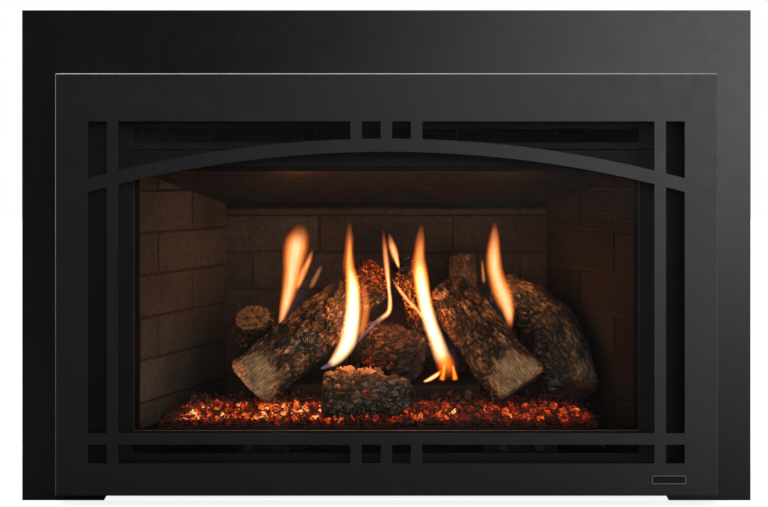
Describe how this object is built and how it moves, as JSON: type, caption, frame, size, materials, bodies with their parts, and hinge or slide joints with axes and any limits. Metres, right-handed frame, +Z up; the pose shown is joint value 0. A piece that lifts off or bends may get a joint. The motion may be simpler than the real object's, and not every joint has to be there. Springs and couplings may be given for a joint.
{
  "type": "gas fireplace insert",
  "caption": "Gas fireplace insert: black surround, lift-off arched screen front, brick-lined firebox with a log set and ember bed behind sealed glass, flue collars on top.",
  "frame": {"origin": "under the middle of the insert, on the hearth: bottom centre of its bounding box", "axes": "+X to the right as seen from the room, +Z up, the decorative front faces -Y"},
  "size_m": [1.112, 0.4612, 0.748],
  "materials": {
    "front_black": "satin black powder coat",
    "surround_black": "satin black powder coat",
    "face_black": "matt high-temperature black",
    "shell_steel": "galvanised grey",
    "liner_black": "matt high-temperature black",
    "mesh_steel": "matt black wire",
    "badge": "satin black, blank",
    "glass": "clear ceramic",
    "gasket": "glass-fibre rope",
    "brick": "moulded refractory brick",
    "log": "painted ceramic fibre bark",
    "ember": "ember media",
    "burner_steel": "heat-darkened steel",
    "zinc": "zinc plated",
    "brass": "plain",
    "aluminium": "plain",
    "cast": "die cast",
    "plastic": "matt black"
  },
  "bodies": {
    "appliance": {"base_pan": "shell_steel", "blower_housings": "shell_steel", "blower_motor": "zinc", "bracket_screws": "zinc", "brick_back": "brick", "brick_left": "brick", "brick_right": "brick", "burner_box": "burner_steel", "burner_pipe": "brass", "control_box": "plastic", "ember_bed": "ember", "exhaust_duct": "aluminium", "face_header": "face_black", "face_left": "face_black", "face_right": "face_black", "face_sill": "face_black", "firebox_back": "liner_black", "firebox_flange": "liner_black", "firebox_floor": "liner_black", "firebox_hood": "liner_black", "firebox_left": "liner_black", "firebox_right": "liner_black", "firebox_top": "liner_black", "gas_inlet_pipe": "brass", "gas_valve": "cast", "hanger_pegs": "zinc", "intake_duct": "aluminium", "log_center": "log", "log_front_center": "log", "log_front_left": "log", "log_pins": "burner_steel", "log_rear_left": "log", "log_right": "log", "log_right_outer": "log", "log_right_stub": "log", "log_upper_center": "log", "pilot_assembly": "burner_steel", "shell_back": "shell_steel", "shell_left": "shell_steel", "shell_right": "shell_steel", "shell_top": "shell_steel", "surround_brackets": "shell_steel", "surround_panel": "surround_black"},
    "decor_front": {"front_panel": "front_black", "screen_frame": "face_black", "screen_mesh": "mesh_steel", "front_hooks": "face_black", "name_plate": "badge"},
    "glass_door": {"glass_frame": "face_black", "glass_pane": "glass", "glass_gasket": "gasket"},
    "latch_left": {"latch_left": "zinc"},
    "latch_right": {"latch_right": "zinc"},
    "blower_rotor": {"blower_rotor": "aluminium"},
    "valve_knob": {"valve_knob": "plastic"},
    "flame_knob": {"flame_knob": "plastic"},
    "speed_knob": {"speed_knob": "plastic"},
    "rocker_switch": {"rocker_switch": "plastic"},
    "foot_left": {"foot_left": "zinc"},
    "foot_right": {"foot_right": "zinc"}
  },
  "joints": [
    {"name": "front_lift", "type": "slide", "parent": "appliance", "child": "decor_front", "axis": [0, 0, 1], "range_m": [0, 0.735]},
    {"name": "glass_relief", "type": "hinge", "parent": "appliance", "child": "glass_door", "pos_m": [0, -0.1824, 0.53], "axis": [-1, 0, 0], "range_deg": [0, 0.4], "stiffness_Nm_per_rad": 400},
    {"name": "latch_left_release", "type": "hinge", "parent": "appliance", "child": "latch_left", "pos_m": [-0.33, -0.1714, 0.0845], "axis": [1, 0, 0], "range_deg": [0, 35], "stiffness_Nm_per_rad": 0.02, "springref_deg": -34.38},
    {"name": "latch_right_release", "type": "hinge", "parent": "appliance", "child": "latch_right", "pos_m": [0.33, -0.1714, 0.0845], "axis": [1, 0, 0], "range_deg": [0, 35], "stiffness_Nm_per_rad": 0.02, "springref_deg": -34.38},
    {"name": "blower_spin", "type": "hinge", "parent": "appliance", "child": "blower_rotor", "pos_m": [0, 0.1856, 0.058], "axis": [1, 0, 0], "continuous": true},
    {"name": "valve_turn", "type": "hinge", "parent": "appliance", "child": "valve_knob", "pos_m": [-0.214, -0.1634, 0.079], "axis": [0, -1, 0], "range_deg": [0, 180]},
    {"name": "flame_turn", "type": "hinge", "parent": "appliance", "child": "flame_knob", "pos_m": [-0.172, -0.1634, 0.079], "axis": [0, -1, 0], "range_deg": [-120, 0]},
    {"name": "speed_turn", "type": "hinge", "parent": "appliance", "child": "speed_knob", "pos_m": [0.236, -0.1634, 0.079], "axis": [0, -1, 0], "range_deg": [-280, 0]},
    {"name": "rocker_tilt", "type": "hinge", "parent": "appliance", "child": "rocker_switch", "pos_m": [0.18, -0.1489, 0.079], "axis": [1, 0, 0], "range_deg": [-8, 8]},
    {"name": "foot_left_screw", "type": "slide", "parent": "appliance", "child": "foot_left", "axis": [0, 0, -1], "range_m": [0, 0.012]},
    {"name": "foot_right_screw", "type": "slide", "parent": "appliance", "child": "foot_right", "axis": [0, 0, -1], "range_m": [0, 0.012]}
  ]
}
